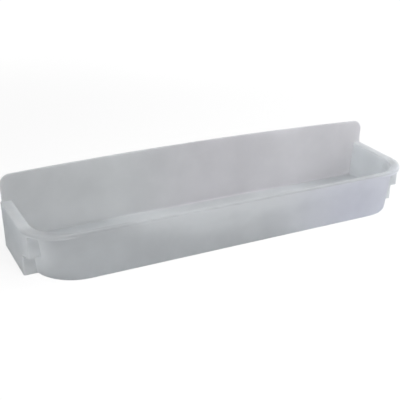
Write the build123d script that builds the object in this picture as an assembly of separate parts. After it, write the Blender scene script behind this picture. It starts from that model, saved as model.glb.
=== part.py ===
from build123d import *
import math
import os

# Door shelf of a refrigerator, moulded in one piece from frosted plastic.
# X runs along the shelf, the back wall is at +Y, and the underside lies on Z = 0.
# The origin is the middle of the underside.

# Driving dimensions, in millimetres and degrees
shelf_width = 450.0
shelf_depth = 106.0
rim_height = 50.5
ear_height = 78.5
crown_rise = 4.7
ear_radius = 11.0
ear_inset = 1.2
back_edge_round = 0.9
wall = 2.5
floor_level = 8.7
floor_thickness = 2.5
front_draft = 0.6
end_draft = 4.0
end_taper = 3.0
tray_corner_radius = 41.5
floor_corner_radius = 46.5
underside_round = 1.2
floor_round = 2.0
lip_height = 4.5
lip_overhang = 0.9
lip_skin = 2.0
lip_round = 1.8
mouth_round = 0.8
rim_corner_radius = 40.0
wing_skin = 2.3
wing_gap = 6.0
foot_depth = 72.0
hood_reach = 12.0
hood_floor = 23.0
wing_corner_round = 1.2

# Levels and planes that several features share
back_face = shelf_depth / 2
back_wall_front = back_face - wall
lip_front = -shelf_depth / 2
half_width = shelf_width / 2
ear_half_width = half_width - ear_inset
tray_half_width = half_width - wing_skin - wing_gap
tray_front = lip_front + lip_overhang
wall_top = rim_height - lip_height / 2
wing_ceiling = rim_height - wall
foot_front = back_face - foot_depth
hood_front = foot_front - hood_reach
beyond = 4 * shelf_width
touch = 0.001


def plan(half_at_back, front, corner_radius, level):
    """Plan at one level: ends that draw in towards rounded front corners, open-ended past the back face."""
    slope = math.tan(math.radians(end_taper))
    tail = back_face + shelf_depth
    half_at_tail = half_at_back + slope * (tail - back_face)
    half_at_front = half_at_back - slope * (back_face - front)
    corners = [
        (-half_at_tail, tail),
        (half_at_tail, tail),
        (half_at_front, front),
        (-half_at_front, front),
    ]
    face = make_face(Polyline(*corners, close=True))
    face = fillet(face.vertices().group_by(Axis.Y)[0], corner_radius)
    return Plane.XY.offset(level) * face


def rim_plan(inset, level):
    """Plan of the rim's outer edge, moved in by a skin."""
    return plan(half_width - inset, lip_front + inset, rim_corner_radius - inset, level)


def tray_plan(inset, level):
    """Plan of the tray's outer wall, moved in by a wall. It leans in and its corners widen downwards."""
    depth = wall_top - level
    half_at_back = tray_half_width - inset - depth * math.tan(math.radians(end_draft))
    front = tray_front + inset + depth * math.tan(math.radians(front_draft))
    corner_radius = tray_corner_radius + (floor_corner_radius - tray_corner_radius) * depth / wall_top
    return plan(half_at_back, front, corner_radius - inset, level)


def sink(face, depth):
    """Extrudes a plan straight down."""
    return extrude(face, depth, dir=(0, 0, -1))


def tray_form(inset, bottom, top):
    """Solid form of the tray between two levels, moved in by a wall."""
    return loft([tray_plan(inset, bottom).face(), tray_plan(inset, top).face()], ruled=True)


def between(solid, front, back):
    """Keeps the stretch of a solid from one depth to another."""
    middle = (front + back) / 2
    slab = Pos(0, middle, 0) * Box(beyond, back - front, beyond)
    return solid & slab


def tray_block():
    """Outside of the tray, with its rounded lower edge."""
    block = tray_form(0, 0, wall_top)
    return fillet(block.edges().group_by(Axis.Z)[0], underside_round)


def cavity():
    """Inside of the tray, with a rounded floor."""
    hollow = tray_form(wall, floor_level, rim_height)
    hollow = between(hollow, lip_front, back_wall_front)
    return fillet(hollow.edges().group_by(Axis.Z)[0], floor_round)


def recess():
    """Shallow hollow under the raised floor, inside the skirt that the walls make below it."""
    hollow = tray_form(wall, 0, floor_level - floor_thickness)
    return between(hollow, lip_front, back_wall_front)


def lip():
    """Band round the rim that stands proud of the walls and covers the wings."""
    band = sink(rim_plan(0, rim_height), lip_height)
    band = fillet(band.edges().group_by(Axis.Z)[-1], lip_round)
    return between(band, lip_front, back_face)


def rounded_front_edges(block):
    """Rounds the two upright edges at the front of a block."""
    upright = block.edges().filter_by(Axis.Z)
    return fillet(upright.group_by(Axis.Y)[0], wing_corner_round)


def wing_blocks():
    """Outside of the end wings: a foot down to the underside, and a hood that stands in front of it."""
    wing = rim_plan(0, wall_top)
    foot = between(sink(wing, wall_top), foot_front, back_face)
    hood = between(sink(wing, wall_top - hood_floor), hood_front, back_face)
    return rounded_front_edges(foot) + rounded_front_edges(hood)


def wing_pockets(tray):
    """Hollow of the end wings and of the lip's overhang, open underneath, outside the tray's own wall."""
    wing = rim_plan(wing_skin, wing_ceiling)
    foot = between(sink(wing, wing_ceiling), foot_front + wing_skin, back_wall_front)
    hood = between(sink(wing, wing_ceiling - hood_floor), hood_front + wing_skin, foot_front)
    lip_depth = wing_ceiling - (rim_height - lip_height)
    groove = between(sink(rim_plan(lip_skin, wing_ceiling), lip_depth), lip_front, hood_front)
    return [foot - tray, hood - tray, groove - tray]


def back_wall():
    """Tall back wall with a bowed top edge and rounded ears."""
    crown = ear_height + crown_rise
    left_ear = (-ear_half_width, ear_height)
    right_ear = (ear_half_width, ear_height)
    sides = Polyline(left_ear, (-ear_half_width, 0), (ear_half_width, 0), right_ear)
    bow = ThreePointArc(left_ear, (0, crown), right_ear)
    face = make_face(sides + bow)
    face = fillet(face.vertices().group_by(Axis.Y)[-1], ear_radius)
    upright = Plane(origin=(0, back_face, 0), x_dir=(1, 0, 0), z_dir=(0, -1, 0))
    plate = extrude(upright * face, wall)
    edges = plate.edges().filter_by(lambda edge: edge.center().Z > rim_height)
    edges = edges.filter_by(Axis.Y, reverse=True)
    return fillet(edges, back_edge_round)


def rounded_mouth(shelf):
    """Rounds the rim's inner edge, from the back wall round the front and back again."""
    on_rim = shelf.edges().filter_by(lambda edge: abs(edge.center().Z - rim_height) < touch)
    mouth = tray_plan(wall, rim_height).edges()
    inner = [edge for edge in on_rim if min(side.distance_to(edge @ 0.5) for side in mouth) < touch]
    return fillet(ShapeList(inner), mouth_round)


def door_shelf():
    """The whole moulding."""
    tray = tray_block()
    shelf = between(tray, lip_front, back_face) + lip() + wing_blocks() + back_wall()
    shelf = shelf - cavity() - recess() - wing_pockets(tray)
    return rounded_mouth(shelf)


os.makedirs("parts", exist_ok=True)
export_step(door_shelf(), "parts/door_shelf.step")
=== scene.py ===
import math

import bpy
import bmesh
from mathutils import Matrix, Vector

# Fridge door shelf, moulded in one piece from frosted plastic, on a white studio floor.
# Metres, in the part's own frame: X along the shelf, the back wall at +Y, the underside on Z = 0.

CAMERA_AZIMUTH = math.radians(-25.39)
CAMERA_ELEVATION = math.radians(23.45)
CAMERA_DISTANCE = 0.7885
CAMERA_SIDEWAYS = -0.00032
CAMERA_UPWARDS = 0.00903
CAMERA_LENS = 60.23
SENSOR_WIDTH = 36.0

# Places on the shelf
BACK_FACE = 0.053
BACK_WALL_FRONT = 0.0505
FRONT_WALL_BACK = -0.0505
TRAY_LEFT = -0.2120
WING_INSIDE = 0.205
WING_FRONT = -0.0190
RIM_LEVEL = 0.0505
FLOOR_TOP = 0.0087

# Colours of the plastic, and how much light goes through it
CLOUDED = (0.705, 0.724, 0.734, 1)
CLEARER = (0.775, 0.796, 0.806, 1)
FRONT_WALL = (0.715, 0.735, 0.750, 1)
# Painted light for the front wall's upper band
PAINTED_LIGHT_TONE = (0.84, 0.86, 0.87, 1)
ROSY = (0.795, 0.750, 0.805, 1)
LILAC = (0.775, 0.785, 0.900, 1)
# Painted shade for the lip and the floor's left end
PAINTED_SHADE_TONE = (0.58, 0.595, 0.605, 1)
DENSE = (0.75, 0.76, 0.77, 1)
SHEER = (0.92, 0.93, 0.94, 1)
SEE_THROUGH = 0.77
PLASTIC_IOR = 1.49
CLOUD_PLACE = (0.16, 0.5, -2.58)

# Studio
WHITE = (1, 1, 1, 1)
FLOOR_HALF = 6.0
FLOOR_LEVEL = -0.0002
FLOOR_GREY = (0.85, 0.85, 0.85, 1)
FLOOR_GLOW = 1.05
WORLD_TINT = (0.99, 0.995, 1.0, 1)
WORLD_LIGHT = 0.15
LAMP_SIZE = 0.5
LAMP_AIM = (0, 0, 0.04)

# Name, place and watts of each lamp
LAMPS = [
    ("high_front", (0.0, -0.677, 0.907), 6.85),
    ("front_right", (0.841, -0.486, 0.556), 4.7),
    ("overhead", (0.376, 0.0, 1.074), 2.4),
    ("right", (1.083, 0.0, 0.231), 3.6),
    ("left", (-0.956, -0.169, 0.556), 3.0),
    ("back_right", (0.542, 0.938, 0.231), 2.15),
]


class Wire:
    """An output socket of a material's nodes. Arithmetic on it adds Math nodes."""

    def __init__(self, tree, socket=None):
        self.tree = tree
        self.socket = socket

    def add(self, kind, settings=None, sockets=None, output=0):
        """Adds a node: first its settings, then the values or links of its sockets."""
        node = self.tree.nodes.new(kind)
        for name, value in (settings or {}).items():
            setattr(node, name, value)
        for name, value in (sockets or {}).items():
            if isinstance(value, Wire):
                self.tree.links.new(value.socket, node.inputs[name])
            else:
                node.inputs[name].default_value = value
        return Wire(self.tree, node.outputs[output] if node.outputs else None)

    def maths(self, operation, *values):
        return self.add("ShaderNodeMath", {"operation": operation}, dict(enumerate(values)))

    def __add__(self, other):
        return self.maths("ADD", self, other)

    def __radd__(self, other):
        return self.maths("ADD", other, self)

    def __sub__(self, other):
        return self.maths("SUBTRACT", self, other)

    def __rsub__(self, other):
        return self.maths("SUBTRACT", other, self)

    def __mul__(self, other):
        return self.maths("MULTIPLY", self, other)

    def __rmul__(self, other):
        return self.maths("MULTIPLY", other, self)

    def __abs__(self):
        return self.maths("ABSOLUTE", self)

    def parts(self):
        """The three numbers of this vector."""
        split = self.add("ShaderNodeSeparateXYZ", None, {"Vector": self})
        return [Wire(self.tree, number) for number in split.socket.node.outputs]

    def moved(self, step):
        """This vector, moved by a step."""
        return self.add("ShaderNodeVectorMath", {"operation": "ADD"}, {0: self, 1: step})

    def scaled(self, factors):
        """This vector, stretched along its axes."""
        return self.add("ShaderNodeVectorMath", {"operation": "MULTIPLY"}, {0: self, 1: factors})

    def length(self):
        """How long this vector is."""
        return self.add("ShaderNodeVectorMath", {"operation": "LENGTH"}, {0: self}, output="Value")

    def noise(self, scale, detail):
        """Noise over this vector, about one lump per scale-th of a metre."""
        return self.add("ShaderNodeTexNoise", None, {"Vector": self, "Scale": scale, "Detail": detail})

    def step(self, start, end):
        """Smooth rise from 0 at start to 1 at end, which may be the lower of the two."""
        return self.add("ShaderNodeMapRange", {"interpolation_type": "SMOOTHSTEP"},
                        {"Value": self, "From Min": start, "From Max": end})

    def mix(self, first, second):
        """Blends two colours by this value."""
        return self.add("ShaderNodeMix", {"data_type": "RGBA"},
                        {"Factor": self, 6: first, 7: second}, output=2)

    def mix_shader(self, first, second):
        """Blends two shaders by this value."""
        return self.add("ShaderNodeMixShader", None, {0: self, 1: first, 2: second})


def new_material(name):
    """An empty node material and a wire to start from."""
    material = bpy.data.materials.new(name)
    material.use_nodes = True
    material.node_tree.nodes.clear()
    return material, Wire(material.node_tree)


def front_wall(place):
    """Where the front wall is, where it carries a band of painted light, and where it is lilac."""
    x, y, z = place.parts()
    front = y.step(-0.030, -0.046)
    right = x.step(0.05, 0.09)

    # Painted light: the wall is brighter above a wavering, slanted edge
    waver = z + 0.016 * place.noise(14.0, 3.0)
    slant = waver + 0.12 * x + 0.03 * right
    tone = 0.55 * slant.step(0.018, 0.036) + 0.45 * waver.step(0.040, 0.052)

    # One oval patch right of centre is left out of the painted light, so it stays darker
    along = 28.0 * x - 0.85
    upward = 60.0 * z - 1.1
    unpainted_patch = (along * along + upward * upward + 0.8 * place.noise(40.0, 3.0)).step(1.4, 0.4)

    painted_light_band = front * tone * x.step(-0.15, -0.09) * (1.0 - 0.15 * right) * (1.0 - 0.95 * unpainted_patch)
    lilac = front * (x + 0.12 * place.noise(9.0, 1.0)).step(0.09, 0.23)
    return front, painted_light_band, lilac


def lip_band(place):
    """Where the lip is, where it takes more painted shade, and where it is scratched."""
    x, y, z = place.parts()
    lip = z.step(RIM_LEVEL - 0.004, RIM_LEVEL - 0.002) * y.step(-0.015, -0.030)
    lip_shade_stretch = lip * (x.step(-0.15, 0.0) * x.step(0.23, 0.17) + x.step(-0.11, -0.15))
    rubbed = lip * place.scaled((0.04, 1.0, 1.0)).noise(900.0, 2.0).step(0.58, 0.72)
    return lip, lip_shade_stretch, rubbed


def tray_floor(place):
    """Painted light on the central stretch of the tray's floor, and painted shade on its left end."""
    x, y, z = place.parts()
    low = z.step(FLOOR_TOP + 0.003, FLOOR_TOP)
    inside = y.step(FRONT_WALL_BACK, FRONT_WALL_BACK + 0.0025)
    floor_light_paint = low * inside * x.step(0.13, 0.07) * x.step(-0.125, -0.085)
    left_end = x.step(-0.092, -0.118) * x.step(TRAY_LEFT, TRAY_LEFT + 0.0020)
    floor_shade_paint = 0.5 * low * y.step(-0.02, 0.0) * left_end
    return floor_light_paint, floor_shade_paint


def wing_faces(place):
    """Painted light on the left wing's front faces and lower part, and on the level top faces of both
    wings.
    """
    x, y, z = place.parts()
    left_wing = x.step(-WING_INSIDE, -WING_INSIDE - 0.005)
    wing_front = y.step(WING_FRONT + 0.004, WING_FRONT + 0.0003)
    wing_light_paint = left_wing * (0.8 * wing_front + 1.6 * z.step(0.035, 0.005))
    top = z.step(RIM_LEVEL - 0.0015, RIM_LEVEL - 0.0005)
    both_wings = abs(x).step(WING_INSIDE + 0.004, WING_INSIDE + 0.008)
    wing_top_light_paint = both_wings * top * y.step(BACK_WALL_FRONT, BACK_WALL_FRONT - 0.0025)
    return wing_light_paint, wing_top_light_paint


def frosted_plastic():
    """Milky moulded plastic: clouded, satin, with faint draw marks, a fine grain and a little wear, and
    light and shade painted on in places.
    """
    material, start = new_material("frosted_plastic")
    place = start.add("ShaderNodeTexCoord", output="Object")
    x, y = place.parts()[:2]
    front, painted_light_band, lilac = front_wall(place)
    lip, lip_shade_stretch, rubbed = lip_band(place)
    floor_light_paint, floor_shade_paint = tray_floor(place)
    wing_light_paint, wing_top_light_paint = wing_faces(place)

    blotches = place.noise(28.0, 3.0).step(0.30, 0.70)
    draw_marks = place.scaled((1.0, 1.0, 0.05)).noise(120.0, 2.0).step(0.35, 0.65)
    smudges = place.noise(38.0, 2.0).step(0.45, 0.75)
    drifts = place.moved(CLOUD_PLACE).scaled((1.0, 1.0, 0.4)).noise(8.0, 2.0).step(0.35, 0.65)
    clouds = 0.5 + (drifts - 0.5) * (1.0 - 0.8 * front)

    colour = clouds.mix(CLOUDED, CLEARER)
    colour = (front - painted_light_band).mix(colour, FRONT_WALL)
    # Painted light: the front wall's upper band is lighter
    colour = painted_light_band.mix(colour, PAINTED_LIGHT_TONE)
    rosy = 0.8 * y.step(BACK_WALL_FRONT - 0.0025, BACK_WALL_FRONT - 0.0005) * x.step(-0.12, 0.02)
    colour = rosy.mix(colour, ROSY)
    colour = lilac.mix(colour, LILAC)
    # Painted shade darkens the lip, more along some stretches, and the floor's left end
    colour = (0.6 * lip + 0.4 * lip_shade_stretch + 0.7 * floor_shade_paint).mix(colour, PAINTED_SHADE_TONE)
    rough = 0.38 + 0.10 * smudges + 0.05 * draw_marks + 0.12 * rubbed
    height = 0.00020 * place.noise(45.0, 1.0) + 0.000012 * place.noise(1500.0, 2.0)
    bump = start.add("ShaderNodeBump", None, {"Strength": 0.5, "Distance": 1.0, "Height": height})
    skin = start.add("ShaderNodeBsdfPrincipled", None, {
        "Base Color": colour,
        "Roughness": rough,
        "IOR": PLASTIC_IOR,
        "Normal": bump,
    })

    # Light that comes through: more of it where the plastic is sheer, which includes the front wall's band
    # of painted light
    dense = start.add("ShaderNodeBsdfTranslucent", None, {"Color": DENSE, "Normal": bump})
    sheer = start.add("ShaderNodeBsdfTranslucent", None, {"Color": SHEER, "Normal": bump})
    density = 0.70 - 0.25 * clouds - 0.34 * blotches + 0.22 * front - 0.67 * painted_light_band
    # The lip and the floor's left end are also made denser, which adds to their painted shade
    density = density + 0.25 * lip + 0.30 * lip_shade_stretch + 0.20 * floor_shade_paint
    glow = density.mix_shader(sheer, dense)
    see_through = SEE_THROUGH + 0.02 * draw_marks - 0.05 * rubbed
    # Painted light: less see-through, so more reflected light, on the floor's central stretch, the left
    # wing's front and lower part, and the wing top faces
    see_through = see_through - 0.15 * floor_light_paint - 0.15 * wing_light_paint - 0.10 * wing_top_light_paint
    start.add("ShaderNodeOutputMaterial", None, {"Surface": see_through.mix_shader(skin, glow)})
    return material


def shows_backdrop(start):
    """1 for a ray that shows the backdrop: from the camera, mirrored, or straight through a clear thing."""
    seen, mirrored, through, scattered = [
        start.add("ShaderNodeLightPath", output="Is %s Ray" % kind)
        for kind in ("Camera", "Glossy", "Transmission", "Diffuse")]
    return seen + mirrored + through * (1.0 - scattered)


def floor_finish():
    """Pale floor that looks white to the camera and keeps a soft shadow round the shelf."""
    material, start = new_material("studio_floor")
    away = start.add("ShaderNodeTexCoord", output="Object").length()
    shade = start.add("ShaderNodeBsdfDiffuse", None, {"Color": FLOOR_GREY})
    glow = start.add("ShaderNodeEmission", None, {"Color": WHITE, "Strength": FLOOR_GLOW})
    white = shows_backdrop(start) * (0.78 + 0.22 * away.step(0.3, 1.5))
    start.add("ShaderNodeOutputMaterial", None, {"Surface": white.mix_shader(shade, glow)})
    return material


def floor():
    """Level square that the shelf stands on."""
    mesh = bpy.data.meshes.new("floor")
    form = bmesh.new()
    bmesh.ops.create_grid(form, x_segments=1, y_segments=1, size=FLOOR_HALF)
    bmesh.ops.translate(form, verts=form.verts, vec=(0, 0, FLOOR_LEVEL))
    form.to_mesh(mesh)
    form.free()
    mesh.materials.append(floor_finish())
    piece = bpy.data.objects.new("floor", mesh)
    bpy.context.scene.collection.objects.link(piece)


def lamp(name, place, watts):
    """Soft square lamp turned to the shelf."""
    light = bpy.data.lights.new(name, "AREA")
    light.shape = "SQUARE"
    light.size = LAMP_SIZE
    light.energy = watts
    item = bpy.data.objects.new(name, light)
    bpy.context.scene.collection.objects.link(item)
    item.location = place
    item.rotation_euler = (Vector(LAMP_AIM) - Vector(place)).to_track_quat("-Z", "Y").to_euler()


def studio_world():
    """White surroundings for the camera, and a soft even light for the shelf."""
    world = bpy.data.worlds.new("studio")
    world.use_nodes = True
    world.node_tree.nodes.clear()
    start = Wire(world.node_tree)
    light = start.add("ShaderNodeBackground", None, {"Color": WORLD_TINT, "Strength": WORLD_LIGHT})
    white = start.add("ShaderNodeBackground", None, {"Color": WHITE, "Strength": 1.0})
    start.add("ShaderNodeOutputWorld", None, {"Surface": shows_backdrop(start).mix_shader(light, white)})
    bpy.context.scene.world = world


def camera():
    """Camera in front, to the left of the shelf and above it."""
    level = math.cos(CAMERA_ELEVATION)
    right = Vector((math.cos(CAMERA_AZIMUTH), math.sin(CAMERA_AZIMUTH), 0))
    back = Vector((
        math.sin(CAMERA_AZIMUTH) * level,
        -math.cos(CAMERA_AZIMUTH) * level,
        math.sin(CAMERA_ELEVATION),
    ))
    up = back.cross(right)
    data = bpy.data.cameras.new("camera")
    data.lens = CAMERA_LENS
    data.sensor_width = SENSOR_WIDTH
    item = bpy.data.objects.new("camera", data)
    bpy.context.scene.collection.objects.link(item)
    aim = Vector((0, BACK_FACE, 0)) + CAMERA_SIDEWAYS * right + CAMERA_UPWARDS * up
    item.location = aim + CAMERA_DISTANCE * back
    item.rotation_euler = back.to_track_quat("Z", "Y").to_euler()
    bpy.context.scene.camera = item


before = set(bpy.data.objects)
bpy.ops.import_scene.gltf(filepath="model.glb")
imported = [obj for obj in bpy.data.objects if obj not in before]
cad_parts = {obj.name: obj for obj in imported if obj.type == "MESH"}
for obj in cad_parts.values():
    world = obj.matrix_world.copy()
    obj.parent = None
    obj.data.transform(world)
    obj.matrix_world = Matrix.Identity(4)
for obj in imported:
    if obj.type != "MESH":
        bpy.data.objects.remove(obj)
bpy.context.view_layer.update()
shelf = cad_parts["door_shelf"]
for slot in shelf.material_slots:
    slot.material = frosted_plastic()
floor()
studio_world()
for name, place, watts in LAMPS:
    lamp(name, place, watts)
camera()
bpy.context.scene.view_settings.view_transform = "Standard"
